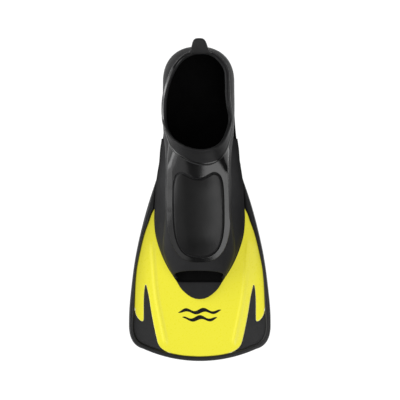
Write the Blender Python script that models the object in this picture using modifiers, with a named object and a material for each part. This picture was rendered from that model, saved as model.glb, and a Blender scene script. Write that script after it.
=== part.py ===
"""A short full-foot swim fin, lying on its sole: heel towards +Y, blade tip towards -Y, +Z up.

Lengths in the tables are in millimetres, and profile() and smooth() turn them into metres.
The origin is on the ground under the middle of the fin.
"""

import math

import bmesh
import bpy
import numpy as np
from mathutils import Vector

MM = 0.001

# Layers of the fin from the ground up.
TREAD_TOP = 3.7 * MM
PLATE_LOW = 4.0 * MM
PLATE_HIGH = 7.2 * MM
SOLE_LOW = 7.5 * MM
SOLE_TOP = 10.0 * MM
UPPER_LOW = 10.3 * MM
GAP = 0.3 * MM

# Flex line of the blade, just in front of the toes.
FLEX_Y = -97.5 * MM
FLEX_Z = 6.0 * MM
PLATE_CLEARANCE = 0.5 * MM
SOLE_CLEARANCE = 1.1 * MM
RAIL_CLEARANCE = 1.6 * MM

# Foot form that the pocket is moulded round.
HEEL_CENTRE = 140 * MM
HEEL_REACH = 43.5 * MM
HEEL_WIDTH = 42.3 * MM
HEEL_EXPONENT = 2.3
HEEL_MIDDLE = 36 * MM
HEEL_DOME = 48 * MM
TOE_END = -112 * MM
BASE_EXPONENT = 6.0
FORM_FOOT = 4 * MM
WALL = 3.2 * MM
SPLIT_Y = 62 * MM
PLATE_REAR = 40 * MM
FAR = 0.4

# Ankle opening, widest at ANKLE_Y and leaning towards +X at both ends, and the collar round it.
ANKLE_Y = 102 * MM
ANKLE_WIDTH = 38.1 * MM
ANKLE_REAR, REAR_EXPONENT, REAR_LEAN = 73.6 * MM, 2.35, 5.5 * MM
ANKLE_FRONT, FRONT_EXPONENT, FRONT_LEAN = 40.6 * MM, 2.05, 6.5 * MM
REAR_LEAN_POWER, FRONT_LEAN_POWER = 1.7, 3.0
COLLAR_FOCUS_Y = 112 * MM
COLLAR_FOCUS_Z = 40 * MM
COLLAR_RISE = 1.0 * MM

# How far the collar reaches down the form, as (degrees round the opening from +X, reach).
COLLAR_REACH = [(0, 9), (45, 7), (90, 7), (135, 6), (180, 6), (200, 8), (215, 11.5), (228, 15.5),
                (245, 17.5), (262, 20.5), (270, 21.3), (285, 21), (300, 19.5), (320, 17.5), (335, 14.5),
                (350, 10.5), (360, 9)]

# How far each side of the opening stands off the plain oval, as (Y, offset towards +X).
RIGHT_WAIST = [(60, 0), (80, 0.2), (98, 1.2), (112, -1.2), (124, -2.4), (140, -1.2), (156, 1.2), (168, 0)]
LEFT_WAIST = [(60, 0), (80, 0), (98, -1.2), (112, -1.8), (126, -1.2), (145, 0), (168, 0)]

# Toe opening: the lip's edge, and the point where its cut reaches the sole.
LIP_Y = -85 * MM
LIP_Z = 38 * MM
CUT_FOOT_Y = -95.5 * MM

# Soft panel: how far it lies under the form, and the ground below the cutters that cut it out.
PANEL_SINK = 1.0 * MM
PANEL_CUT_LOW = 20 * MM

# Sole, its apron in front of the toes, and the tread pads under it.
SOLE_HEEL_WIDTH = 40.8 * MM
SOLE_HEEL_REACH = 42.0 * MM
APRON_START = -113 * MM
APRON_END = [(10.5, -116.3), (5.2, -118.4), (0, -119)]
HEEL_TREAD_FRONT = 85 * MM
HEEL_TREAD_INSET = 4 * MM
BALL_TREAD_REAR, BALL_TREAD_FRONT = 20 * MM, -88 * MM
BALL_TREAD_INSET = 5 * MM
GROOVE_START, GROOVE_WIDTH, GROOVE_DEPTH = -90 * MM, 3.5 * MM, 2 * MM
GROOVE_PITCH = 9 * MM
GROOVE_COUNT = 30

# Heel pull tab.
TAB_AXIS_X = 3.5 * MM
TAB_AXIS_Y = 177.3 * MM
TAB_AXIS_Z = 71.8 * MM
TAB_LEAN = math.radians(48)
TAB_BASE = 11 * MM
TAB_HALF = 1.6 * MM
TAB_OUTLINE = [(11, 0), (10, 8.8), (7.1, 18), (5.7, 20.9), (3.9, 22), (0, 22)]

# Tip of the blade: one arc for the trailing edge, and a rounded corner at each side.
TIP_Y = -193.2 * MM
TIP_RADIUS = 165 * MM
BEAD = 5.8 * MM
CORNER_Y = -150 * MM

# Half widths along the fin, as (Y, half width).
FORM_WIDTH = [(140, 42.3), (100, 42.5), (80, 41.6), (60, 39.6), (45, 38.8), (30, 38.9), (0, 39.6),
              (-20, 40), (-35, 41.6), (-50, 43.4), (-60, 43.4), (-79, 37.4), (-89, 32.6), (-98, 26.6),
              (-112, 16)]
FORM_HEIGHT = [(140, 84), (110, 90), (80, 88), (60, 83), (40, 79), (20, 73), (0, 66), (-30, 56),
               (-60, 46.5), (-85, 38), (-112, 30)]
FORM_MIDDLE = [(140, 36), (60, 36), (0, 28), (-60, 20), (-112, 14)]
FORM_EXPONENT = [(140, 2.4), (60, 2.4), (38, 2.5), (15, 3.9), (-10, 4.7), (-28, 4.2), (-45, 3.1),
                 (-60, 2.5), (-85, 2.4), (-112, 2.4)]
FLANGE_WIDTH = [(140, 40.8), (100, 41.8), (74, 44), (50, 47.7), (26, 51.6), (0, 53.5), (-12, 54.2),
                (-26, 54.4), (-41, 53), (-60, 47.7), (-79, 39.3), (-98, 27.3), (-108, 20.7),
                (-113, 15.3)]
SILHOUETTE = [(26, 51.6), (-7, 62.4), (-36, 70.2), (-65, 76.5), (-103, 81.9), (-137, 84.9),
              (-150, 85.1)]
BEAD_INSIDE = [(22, 52.4), (0, 54.1), (-10, 55), (-17, 58.4), (-26, 61.2), (-46, 67.2),
               (-65, 71.7), (-84, 75.3), (-98, 76.6), (-130, 78.0), (-150, 79.2)]
RIB_PLACE = [(-57, 57.2), (-115, 52), (-170, 41)]
RIB_REAR, RIB_FRONT = -57 * MM, -170 * MM
RIB_WIDTH = 5 * MM
RIB_RISE = 1.5 * MM
RAIL_REAR = 20 * MM
RAIL_ROUND = 1.4 * MM
RAIL_HEIGHT = [(20, 10.4), (0, 11.6), (-30, 13), (-60, 13.4), (-97, 12.6), (-130, 10.6), (-150, 10)]
WEB_HEIGHT = [(73, 12), (60, 19), (30, 29), (0, 32), (-30, 26), (-60, 18), (-84, 12)]
WEB_REAR, WEB_FRONT = 73 * MM, -82 * MM
WEB_BRIM = 1.5 * MM
WEB_KNEE_OUT, WEB_KNEE_UP, WEB_KNEE_RISE = 0.35, 0.45, 0.8 * MM

# Edge of the yellow plate under the pocket, from its rear to where the rails begin beside it.
PLATE_SIDE = [(34, 40), (44, 24), (50, 12), (52.6, 0), (53.8, -8)]
PLATE_BESIDE_RAIL = -11 * MM
PLATE_FINGER = -127 * MM

# Corner inserts: where their outer edge starts, and how near the middle and the tip they reach.
INSERT_REAR = -134 * MM
INSERT_MIDDLE = 41 * MM
INSERT_TIP = -180 * MM

# Edge of the yellow plate from its outer finger, round the corner insert's spike, to the middle.
NOTCH = [(77.7, -130), (77.2, -135), (75.2, -140), (71.8, -144), (69, -145.3), (67.6, -143.8),
         (67.4, -138), (67.3, -120), (66.6, -108), (65.6, -102.3), (64.9, -101.6), (64.1, -102.4),
         (62.7, -108), (60.6, -118), (57.8, -136), (53.9, -156), (51.6, -166), (49.6, -172.6),
         (46, -177.6), (40, -181.1), (33, -183.4)]
YELLOW_END = [(20.7, -185.7), (0, -187.0)]

# Outline of the soft panel let into the instep, from its notched top to its round front end.
PANEL = [(0, 24.6), (6, 25), (12, 28), (19, 31), (25, 28.5), (28.3, 20), (29.4, 4), (29.4, -22),
         (28.4, -37), (26.2, -48), (22, -58), (15.5, -64.6), (8, -67.5), (0, -68.2)]


def profile(table, unit=MM, along=MM):
    """A smooth function through the table's (place, value) pairs; along and unit are what they are in."""
    pairs = sorted(table)
    ys = np.array([y for y, _ in pairs]) * along
    values = np.array([value for _, value in pairs]) * unit
    slopes = np.gradient(values, ys)

    def at(y):
        i = int(np.clip(np.searchsorted(ys, y) - 1, 0, len(ys) - 2))
        step = ys[i + 1] - ys[i]
        t = min(max((y - ys[i]) / step, 0.0), 1.0)
        return float((1 + 2 * t) * (1 - t) ** 2 * values[i] + t * (1 - t) ** 2 * step * slopes[i]
                     + t * t * (3 - 2 * t) * values[i + 1] - t * t * (1 - t) * step * slopes[i + 1])

    return at


form_width = profile(FORM_WIDTH)
form_height = profile(FORM_HEIGHT)
form_middle = profile(FORM_MIDDLE)
form_exponent = profile(FORM_EXPONENT, 1)
flange_width = profile(FLANGE_WIDTH)
silhouette = profile(SILHOUETTE)
bead_inside = profile(BEAD_INSIDE)
rib_place = profile(RIB_PLACE)
rail_height = profile(RAIL_HEIGHT)
web_height = profile(WEB_HEIGHT)
right_waist = profile(RIGHT_WAIST)
left_waist = profile(LEFT_WAIST)
collar_reach = profile(COLLAR_REACH, along=1)


def smooth(points, per_span=4):
    """A closer-set line of points, in metres, through a table's points in millimetres."""
    ends = [np.array(p, float) * MM for p in points]
    line = []
    for i in range(len(ends) - 1):
        before, here, there = ends[max(i - 1, 0)], ends[i], ends[i + 1]
        after = ends[min(i + 2, len(ends) - 1)]
        for k in range(per_span):
            t = k / per_span
            line.append(0.5 * (2 * here + (there - before) * t
                               + (2 * before - 5 * here + 4 * there - after) * t ** 2
                               + (3 * here - before - 3 * there + after) * t ** 3))
    line.append(ends[-1])
    return [(float(x), float(y)) for x, y in line]


def offset(line, distance):
    """The open line moved sideways, to its right as it runs."""
    points = np.array(line)
    along = np.gradient(points, axis=0)
    along /= np.linalg.norm(along, axis=1)[:, None]
    side = np.stack([along[:, 1], -along[:, 0]], axis=1)
    return [(float(x), float(y)) for x, y in points + side * distance]


def side_line(width, start, end, count):
    """Points (width(y), y) from one Y to another."""
    return [(width(y), float(y)) for y in np.linspace(start, end, count)]


def tip_line(inset, corner_width, start_y):
    """The +X half of the blade's end: a rounded corner, then the trailing arc to the middle."""
    radius = TIP_RADIUS - inset
    centre = TIP_Y + TIP_RADIUS
    join_x = 68 * MM - inset * 0.7
    join = np.array([join_x, centre - math.sqrt(radius ** 2 - join_x ** 2)])
    start = np.array([corner_width, start_y])
    corner = np.array([corner_width, join[1] + 4.6 * MM])
    line = [tuple(float(v) for v in (1 - t) ** 2 * start + 2 * t * (1 - t) * corner + t * t * join)
            for t in np.linspace(0, 1, 9)]
    for x in np.linspace(join_x, 0, 12)[1:]:
        line.append((float(x), centre - math.sqrt(radius ** 2 - x ** 2)))
    return line


def both_sides(half):
    """A closed outline from its +X half, which runs from one end of the fin to the other."""
    return half + [(-x, y) for x, y in reversed(half) if x > 1e-6]


def heel_round(y, reach=HEEL_REACH):
    """How wide the round heel still is at y, as a share of its full width."""
    share = min(max((y - HEEL_CENTRE) / reach, 0.0), 1.0)
    return (1 - share ** HEEL_EXPONENT) ** (1 / HEEL_EXPONENT)


def form_at(y, grow):
    """Half width, top, widest height and base of the foot form's section at y, grown by grow."""
    if y <= HEEL_CENTRE:
        return form_width(y) + grow, form_height(y) + grow, form_middle(y), FORM_FOOT - grow
    round_share = heel_round(y, HEEL_REACH + grow)
    return ((HEEL_WIDTH + grow) * round_share, HEEL_MIDDLE + (HEEL_DOME + grow) * round_share,
            HEEL_MIDDLE, HEEL_MIDDLE - (HEEL_MIDDLE - FORM_FOOT + grow) * round_share ** 0.2)


def form_top(x, y, grow):
    """Height of the foot form's upper surface over a point of the plan."""
    width, top, middle, _ = form_at(y, grow)
    power = form_exponent(y)
    share = min(abs(x) / max(width, 1e-6), 1.0)
    return middle + (top - middle) * (1 - share ** power) ** (1 / power)


def section(y, grow, count):
    """One closed ring of the foot form."""
    width, top, middle, base = form_at(y, grow)
    ring = []
    for a in np.linspace(0, 2 * math.pi, count, endpoint=False):
        c, s = math.cos(a), math.sin(a)
        upper = s >= 0
        power = 2 / (form_exponent(y) if upper else BASE_EXPONENT)
        height = (top - middle) if upper else (base - middle)
        ring.append((width * math.copysign(abs(c) ** power, c), y, middle + height * abs(s) ** power))
    return ring


def ankle_point(angle):
    """A point of the ankle opening's edge in plan."""
    c, s = math.cos(angle), math.sin(angle)
    if s >= 0:
        length, exponent, lean, power = ANKLE_REAR, REAR_EXPONENT, REAR_LEAN, REAR_LEAN_POWER
    else:
        length, exponent, lean, power = ANKLE_FRONT, FRONT_EXPONENT, FRONT_LEAN, FRONT_LEAN_POWER
    along = math.copysign(abs(s) ** (2 / exponent), s)
    across = math.copysign(abs(c) ** (2 / exponent), c)
    x, y = ANKLE_WIDTH * across + lean * abs(along) ** power, ANKLE_Y + length * along
    return x + (right_waist if c > 0 else left_waist)(y), y


def collar_edge(angle, width):
    """The point on the foot form this far down its surface from the ankle opening's edge."""
    x0, y0 = ankle_point(angle)
    away = Vector((x0, y0 - COLLAR_FOCUS_Y)).normalized()
    last = Vector((x0, y0, form_top(x0, y0, 0)))
    gone, reach, step = 0.0, 0.0, 0.4 * MM
    while gone < width and step > 0.0001 * MM:
        x, y = x0 + away.x * (reach + step), y0 + away.y * (reach + step)
        here = Vector((x, y, form_top(x, y, 0)))
        length = (here - last).length
        if abs(x) >= form_at(y, 0)[0] or length > 0.5 * MM:
            step /= 2
            continue
        reach += step
        gone += length
        last = here
    return Vector((last.x, last.y, last.z - max(width - gone, 0)))


def material(name, colour, roughness):
    made = bpy.data.materials.new(name)
    made.use_nodes = True
    shader = made.node_tree.nodes["Principled BSDF"]
    shader.inputs["Base Color"].default_value = (*colour, 1)
    shader.inputs["Roughness"].default_value = roughness
    return made


def collection(name):
    made = bpy.data.collections.new(name)
    bpy.context.scene.collection.children.link(made)
    return made


def mesh_object(name, points, faces, look, place):
    """An object with this mesh, its faces turned outwards."""
    mesh = bpy.data.meshes.new(name)
    mesh.from_pydata([tuple(p) for p in points], [], faces)
    shape = bmesh.new()
    shape.from_mesh(mesh)
    bmesh.ops.remove_doubles(shape, verts=shape.verts, dist=1e-6)
    bmesh.ops.recalc_face_normals(shape, faces=shape.faces)
    shape.to_mesh(mesh)
    shape.free()
    made = bpy.data.objects.new(name, mesh)
    place.objects.link(made)
    if look is not None:
        mesh.materials.append(look)
        mesh.shade_smooth()
        mesh.set_sharp_from_angle(angle=math.radians(35))
    else:
        made.hide_render = True
        made.display_type = "WIRE"
    return made


def loft(name, rings, look, place):
    """A closed solid through rings that all have the same number of points."""
    count = len(rings[0])
    points = [p for ring in rings for p in ring]
    faces = [(k * count + i, k * count + (i + 1) % count,
              (k + 1) * count + (i + 1) % count, (k + 1) * count + i)
             for k in range(len(rings) - 1) for i in range(count)]
    faces.append(tuple(range(count)))
    faces.append(tuple(range((len(rings) - 1) * count, len(rings) * count)))
    return mesh_object(name, points, faces, look, place)


def plate(name, outline, low, high, look, place):
    """A flat outline extruded from one height to another."""
    curve = bpy.data.curves.new(name, "CURVE")
    curve.dimensions = "2D"
    curve.fill_mode = "BOTH"
    curve.extrude = (high - low) / 2
    spline = curve.splines.new("POLY")
    spline.points.add(len(outline) - 1)
    for point, (x, y) in zip(spline.points, outline):
        point.co = (x, y, 0, 1)
    spline.use_cyclic_u = True
    drawn = bpy.data.objects.new(name + "_outline", curve)
    place.objects.link(drawn)
    drawn.location.z = (low + high) / 2
    bpy.context.view_layer.update()
    graph = bpy.context.evaluated_depsgraph_get()
    mesh = bpy.data.meshes.new_from_object(drawn.evaluated_get(graph))
    points = [drawn.matrix_world @ v.co for v in mesh.vertices]
    faces = [tuple(p.vertices) for p in mesh.polygons]
    bpy.data.objects.remove(drawn)
    return mesh_object(name, points, faces, look, place)


def box(name, low, high, place):
    """A box-shaped cutter between two corners."""
    low, high = Vector(low), Vector(high)
    bpy.ops.mesh.primitive_cube_add(size=1, location=(low + high) / 2, scale=high - low)
    made = bpy.context.object
    made.name = name
    for owner in list(made.users_collection):
        owner.objects.unlink(made)
    place.objects.link(made)
    made.hide_render = True
    made.display_type = "WIRE"
    return made


def combine(target, other, operation):
    """A Boolean of target with other, kept as a modifier."""
    modifier = target.modifiers.new(other.name, "BOOLEAN")
    modifier.operation = operation
    modifier.object = other
    modifier.solver = "EXACT"


def mirrored(source, name, place):
    """The same piece on the -X side, with its own name."""
    copy = source.copy()
    copy.name = name
    copy.scale.x = -1
    place.objects.link(copy)
    return copy


def form(name, grow, look, place, stations=16, count=56):
    """The closed foot form, from the heel to a little past the toe opening."""
    ys = [HEEL_CENTRE + (HEEL_REACH + grow) * math.sin(a)
          for a in np.linspace(1.5, 0, 11)]
    ys += list(np.linspace(HEEL_CENTRE, TOE_END, stations + 1)[1:])
    return loft(name, [section(y, grow, count) for y in ys], look, place)


def collar_cutter(name, extra, place, spokes=60):
    """Everything above the cone from inside the heel through a line this much outside the collar's edge."""
    apex = Vector((0, COLLAR_FOCUS_Y, COLLAR_FOCUS_Z))
    angles = np.linspace(0, 2 * math.pi, spokes, endpoint=False)
    edge = [collar_edge(a, collar_reach(math.degrees(a)) + extra) for a in angles]
    low = [apex + (p - apex) * 1.5 for p in edge]
    high = [Vector((p.x, p.y, FAR)) for p in low]
    points = [apex, *low, *high]
    faces = [tuple(range(spokes + 1, 2 * spokes + 1))]
    for i in range(spokes):
        j = (i + 1) % spokes
        faces.append((0, 1 + j, 1 + i))
        faces.append((1 + i, 1 + j, 1 + spokes + j, 1 + spokes + i))
    return mesh_object(name, points, faces, None, place)


def toe_cutter(place):
    """Everything in front of the slanted plane that the toe opening lies in."""
    slant = math.atan2(LIP_Y - CUT_FOOT_Y, LIP_Z - SOLE_TOP)
    normal = Vector((0, -math.cos(slant), math.sin(slant)))
    cutter = box("toe_cutter", (-FAR / 2,) * 3, (FAR / 2,) * 3, place)
    cutter.rotation_euler.x = -slant
    cutter.location = Vector((0, CUT_FOOT_Y, SOLE_TOP)) + normal * FAR / 2
    return cutter


def make_pocket(parts, cutters, rubber, soft):
    """The moulded upper: instep, heel cup, collar and soft panel, all shells round the foot form."""
    inside = form("form_inside", -WALL, None, cutters)
    below = box("below_upper", (-FAR, -FAR, -FAR), (FAR, FAR, UPPER_LOW), cutters)
    front = toe_cutter(cutters)
    rear_half = box("rear_half", (-FAR, SPLIT_Y - GAP / 2, -FAR), (FAR, FAR, FAR), cutters)
    front_half = box("front_half", (-FAR, -FAR, -FAR), (FAR, SPLIT_Y + GAP / 2, FAR), cutters)
    collar_space = collar_cutter("collar_space", GAP, cutters)
    panel_line = both_sides(smooth(PANEL, 2))
    panel_hole = plate("panel_hole", grown(panel_line, GAP), PANEL_CUT_LOW, FAR, None, cutters)

    upper = form("instep_upper", 0, rubber, parts)
    for cutter in (inside, below, front, collar_space, rear_half, panel_hole):
        combine(upper, cutter, "DIFFERENCE")

    heel = form("heel_cup", 0, rubber, parts)
    for cutter in (inside, below, collar_space, front_half):
        combine(heel, cutter, "DIFFERENCE")

    collar = form("ankle_collar", COLLAR_RISE, rubber, parts, stations=26, count=64)
    combine(collar, inside, "DIFFERENCE")
    combine(collar, collar_cutter("collar_band", 0, cutters), "INTERSECT")
    opening = [ankle_point(a) for a in np.linspace(0, 2 * math.pi, 56, endpoint=False)]
    combine(collar, plate("ankle_opening", opening, -FAR, FAR, None, cutters), "DIFFERENCE")

    panel = form("instep_panel", -PANEL_SINK, soft, parts)
    combine(panel, inside, "DIFFERENCE")
    combine(panel, plate("panel_area", panel_line, PANEL_CUT_LOW, FAR, None, cutters), "INTERSECT")


def grown(outline, distance):
    """A closed outline, given clockwise or not, moved outwards."""
    points = np.array(outline)
    ahead, behind = np.roll(points, -1, axis=0), np.roll(points, 1, axis=0)
    area = float(np.sum(points[:, 0] * ahead[:, 1] - ahead[:, 0] * points[:, 1]))
    along = ahead - behind
    along /= np.linalg.norm(along, axis=1)[:, None]
    side = np.stack([along[:, 1], -along[:, 0]], axis=1) * math.copysign(1, area)
    return [(float(x), float(y)) for x, y in points + side * distance]


def make_sole(parts, cutters, rubber, tread_look):
    """The rubber floor of the pocket, its apron in front of the toes, and the tread under it."""
    heel = [(SOLE_HEEL_WIDTH * heel_round(y, SOLE_HEEL_REACH), y)
            for y in HEEL_CENTRE + SOLE_HEEL_REACH * np.sin(np.linspace(math.pi / 2, 0.1, 12))]
    side = side_line(flange_width, HEEL_CENTRE, FLEX_Y + SOLE_CLEARANCE, 30)
    sole = plate("sole", both_sides(heel + side), PLATE_LOW, SOLE_TOP, rubber, parts)
    recess = box("plate_recess", (-FAR, -FAR, -FAR), (FAR, PLATE_REAR + GAP, SOLE_LOW), cutters)
    combine(sole, recess, "DIFFERENCE")

    apron = side_line(flange_width, FLEX_Y - SOLE_CLEARANCE, APRON_START, 8)
    apron += [(x * MM, y * MM) for x, y in APRON_END]
    plate("toe_apron", both_sides(apron), SOLE_LOW, SOLE_TOP, rubber, parts)

    grooves = tread_grooves(cutters)
    heel_side = side_line(flange_width, HEEL_CENTRE - 1 * MM, HEEL_TREAD_FRONT, 6)
    heel_pad = grown(both_sides(heel + heel_side), -HEEL_TREAD_INSET)
    ball = side_line(lambda y: flange_width(y) - BALL_TREAD_INSET, BALL_TREAD_REAR, BALL_TREAD_FRONT, 16)
    for name, outline in (("heel_tread", heel_pad), ("forefoot_tread", both_sides(ball))):
        pad = plate(name, outline, 0, TREAD_TOP, tread_look, parts)
        combine(pad, grooves, "DIFFERENCE")


def tread_grooves(cutters):
    """Cross grooves in the tread, cut from below."""
    groove = box("tread_grooves", (-FAR, GROOVE_START, -GROOVE_DEPTH),
                 (FAR, GROOVE_START + GROOVE_WIDTH, GROOVE_DEPTH), cutters)
    repeat = groove.modifiers.new("repeat", "ARRAY")
    repeat.use_relative_offset = False
    repeat.use_constant_offset = True
    repeat.constant_offset_displace = (0, GROOVE_PITCH, 0)
    repeat.count = GROOVE_COUNT
    repeat.use_merge_vertices = False
    return groove


def rib_strip(name, start_y, end_y, place):
    """One stiffening rib of the blade, standing proud above and below the plate."""
    ys = np.linspace(start_y, end_y, 10)
    outer = [(rib_place(y) + RIB_WIDTH / 2, float(y)) for y in ys]
    inner = [(rib_place(y) - RIB_WIDTH / 2, float(y)) for y in reversed(ys)]
    return plate(name, outer + inner, PLATE_LOW - RIB_RISE, PLATE_HIGH + RIB_RISE, None, place)


def rail_section(y):
    """One ring of the right-hand rail, with its upper edges and outer foot rounded."""
    inner, outer, top = bead_inside(y), silhouette(y), rail_height(y)
    r = min(RAIL_ROUND, (outer - inner) * 0.35)
    ring = [(inner, 0), (outer - r, 0), (outer, r), (outer, top - r), (outer - 0.3 * r, top - 0.3 * r),
            (outer - r, top), (inner + r, top), (inner + 0.3 * r, top - 0.3 * r), (inner, top - r)]
    return [(x, y, z) for x, z in ring]


def make_blade(parts, cutters, yellow, rubber):
    """The yellow plate, in its root and its free part, with the rubber that edges it."""
    def beside_rail(start, end, count):
        return side_line(lambda y: bead_inside(y) - GAP, start, end, count)

    root_side = [(x * MM, y * MM) for x, y in PLATE_SIDE]
    edge = beside_rail(PLATE_BESIDE_RAIL, FLEX_Y + PLATE_CLEARANCE, 16)
    root = plate("blade_root", both_sides([*root_side, *edge]), PLATE_LOW, PLATE_HIGH, yellow, parts)
    edge = beside_rail(FLEX_Y - PLATE_CLEARANCE, PLATE_FINGER, 6)
    notch = smooth(NOTCH, 3)
    end = smooth([NOTCH[-1], *YELLOW_END], 3)[1:]
    panel = plate("blade_panel", both_sides([*edge, *notch, *end]),
                  PLATE_LOW, PLATE_HIGH, yellow, parts)
    for sign, side in ((1, "right"), (-1, "left")):
        spans = ((root, "root_rib_", RIB_REAR, FLEX_Y + 2 * PLATE_CLEARANCE),
                 (panel, "tip_rib_", FLEX_Y - 2 * PLATE_CLEARANCE, RIB_FRONT))
        for piece, name, start, stop in spans:
            rib = rib_strip(name + side, start, stop, cutters)
            rib.scale.x = sign
            combine(piece, rib, "UNION")

    for name, start, stop, stations in (("root_rail_", RAIL_REAR, FLEX_Y + RAIL_CLEARANCE, 22),
                                        ("side_rail_", FLEX_Y - RAIL_CLEARANCE, CORNER_Y, 10)):
        rings = [rail_section(y) for y in np.linspace(start, stop, stations)]
        mirrored(loft(name + "right", rings, rubber, parts), name + "left", parts)

    outside = tip_line(0, silhouette(CORNER_Y), CORNER_Y - GAP)
    inside = tip_line(BEAD, bead_inside(CORNER_Y), CORNER_Y - GAP)
    ring = outside + [(-x, y) for x, y in reversed(outside[:-1])]
    ring += [(-x, y) for x, y in inside[:-1]] + list(reversed(inside))
    plate("trailing_edge", ring, 0, rail_height(CORNER_Y), rubber, parts)

    bank = beside_rail(INSERT_REAR, CORNER_Y, 5)
    bank += [(x - GAP, y + GAP) for x, y in tip_line(BEAD, bead_inside(CORNER_Y), CORNER_Y)[1:]
             if x > INSERT_MIDDLE]
    shore = [p for p in offset(notch, -GAP)
             if p[1] > INSERT_TIP and not (p[0] > 77 * MM and p[1] > INSERT_REAR)]
    web = plate("corner_web_right", bank + list(reversed(shore)), PLATE_LOW, PLATE_HIGH, rubber, parts)
    mirrored(web, "corner_web_left", parts)


def make_side_webs(parts, rubber):
    """The flared flange on each side, from the pocket's wall down to the edge of the sole."""
    rings = []
    for y in np.linspace(WEB_REAR, WEB_FRONT, 20):
        wall = form_at(y, 0)[0] + GAP
        edge = flange_width(y) - 0.2 * MM
        reach = max(edge - wall, 0.8 * MM)
        height = web_height(y)
        knee = UPPER_LOW + (height - UPPER_LOW) * WEB_KNEE_UP + WEB_KNEE_RISE
        rings.append([(wall, y, UPPER_LOW), (wall + reach, y, UPPER_LOW),
                      (wall + reach, y, UPPER_LOW + WEB_BRIM), (wall + reach * WEB_KNEE_OUT, y, knee),
                      (wall, y, height)])
    web = loft("side_web_right", rings, rubber, parts)
    mirrored(web, "side_web_left", parts)


def make_tab(parts, rubber):
    """The pull tab at the heel, hung on its flex axis just above the collar."""
    hinge = bpy.data.objects.new("tab_axis", None)
    parts.objects.link(hinge)
    hinge.location = (TAB_AXIS_X, TAB_AXIS_Y, TAB_AXIS_Z)
    hinge.rotation_euler.x = TAB_LEAN
    half = [(x * MM, y * MM) for x, y in TAB_OUTLINE]
    tab = plate("heel_pull_tab", both_sides(half), -TAB_HALF, TAB_HALF, rubber, parts)
    tab.parent = hinge
    bpy.ops.mesh.primitive_cylinder_add(vertices=20, radius=TAB_HALF, depth=2 * TAB_BASE,
                                        rotation=(0, math.pi / 2, 0))
    knuckle = bpy.context.object
    knuckle.name = "tab_knuckle"
    knuckle.hide_render = True
    knuckle.display_type = "WIRE"
    knuckle.parent = hinge
    combine(tab, knuckle, "UNION")


def main():
    for old in list(bpy.data.objects):
        bpy.data.objects.remove(old)
    parts = collection("swim_fin")
    cutters = collection("cutters")
    rubber = material("black_rubber", (0.022, 0.022, 0.024), 0.42)
    soft = material("soft_panel", (0.018, 0.018, 0.019), 0.5)
    tread_look = material("tread_rubber", (0.03, 0.03, 0.032), 0.7)
    yellow = material("yellow_plastic", (0.86, 0.80, 0.02), 0.3)
    make_pocket(parts, cutters, rubber, soft)
    make_sole(parts, cutters, rubber, tread_look)
    make_blade(parts, cutters, yellow, rubber)
    make_side_webs(parts, rubber)
    make_tab(parts, rubber)


main()
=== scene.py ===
"""Looks of the swim fin: rubber foot pocket, yellow blade plate and rubber rim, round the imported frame.

The frame's axes: heel towards +Y, blade tip towards -Y, +Z up, metres. Tables are in millimetres.
"""

import math

import bmesh
import bpy
import numpy as np
from mathutils import Matrix, Vector
from mathutils.geometry import delaunay_2d_cdt


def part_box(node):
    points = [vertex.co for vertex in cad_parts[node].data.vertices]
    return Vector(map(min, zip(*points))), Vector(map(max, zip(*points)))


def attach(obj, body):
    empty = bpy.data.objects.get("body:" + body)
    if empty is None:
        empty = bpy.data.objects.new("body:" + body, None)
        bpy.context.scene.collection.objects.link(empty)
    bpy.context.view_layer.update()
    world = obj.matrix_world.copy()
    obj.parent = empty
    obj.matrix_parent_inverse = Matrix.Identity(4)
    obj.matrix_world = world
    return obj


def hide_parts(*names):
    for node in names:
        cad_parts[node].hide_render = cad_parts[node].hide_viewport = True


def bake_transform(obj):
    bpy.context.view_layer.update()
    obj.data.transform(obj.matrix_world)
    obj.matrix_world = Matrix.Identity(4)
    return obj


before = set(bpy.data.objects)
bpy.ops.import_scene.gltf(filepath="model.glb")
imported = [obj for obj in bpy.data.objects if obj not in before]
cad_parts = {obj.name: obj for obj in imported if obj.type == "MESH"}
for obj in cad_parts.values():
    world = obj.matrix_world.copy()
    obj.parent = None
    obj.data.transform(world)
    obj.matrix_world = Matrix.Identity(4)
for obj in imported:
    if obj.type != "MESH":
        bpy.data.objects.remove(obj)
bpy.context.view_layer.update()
MM = 0.001

# ---------------- driving sizes
# Heights and the tip's place come from the frame.
SOLE_LOW, SOLE_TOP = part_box("sole")[0].z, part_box("sole")[1].z
PLATE_LOW, PLATE_HIGH = SOLE_LOW, SOLE_LOW + 3.2 * MM
TIP_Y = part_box("trailing_edge")[0].y

# Foot form and the pocket's wall. The toe edge slants from the lip down to the cut's foot.
HEEL_CENTRE, HEEL_REACH = 140 * MM, 43.5 * MM
HEEL_WIDTH, HEEL_MIDDLE, HEEL_DOME = 42.3 * MM, 36 * MM, 48 * MM
HEEL_EXPONENT, WALL_EXPONENT = 2.3, 6.0
WALL, WALL_BULGE_LOW = 3.2 * MM, 4 * MM
LIP_Y, LIP_Z, CUT_FOOT_Y = -85 * MM, 38 * MM, -95.5 * MM
TOE_END = -111 * MM
LOW_COLUMNS, TOP_COLUMNS = 12, 124

# Ankle opening and its collar. COLLAR_PROFILE is that of a band COLLAR_SPAN mm wide.
ANKLE_Y, ANKLE_WIDTH = 102 * MM, 38.1 * MM
ANKLE_REAR, REAR_EXPONENT, REAR_LEAN = 73.6 * MM, 2.35, 5.5 * MM
ANKLE_FRONT, FRONT_EXPONENT, FRONT_LEAN = 40.6 * MM, 2.05, 6.5 * MM
REAR_LEAN_POWER, FRONT_LEAN_POWER, COLLAR_FOCUS_Y = 1.7, 3.0, 112 * MM
COLLAR_SPAN, COLLAR_LIP, COLLAR_OUTER, COLLAR_FULL = 20.3, 4, 16, 9
COLLAR_RISE, RIM_DOME, FLARE_START, FLARE_END = 5.0, 0.5, 105, 212
PATH_REACH, CUT_SHARE, CONE_STRETCH, CUTTER_HEIGHT = 22, 0.66, 1.5, 200 * MM

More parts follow.
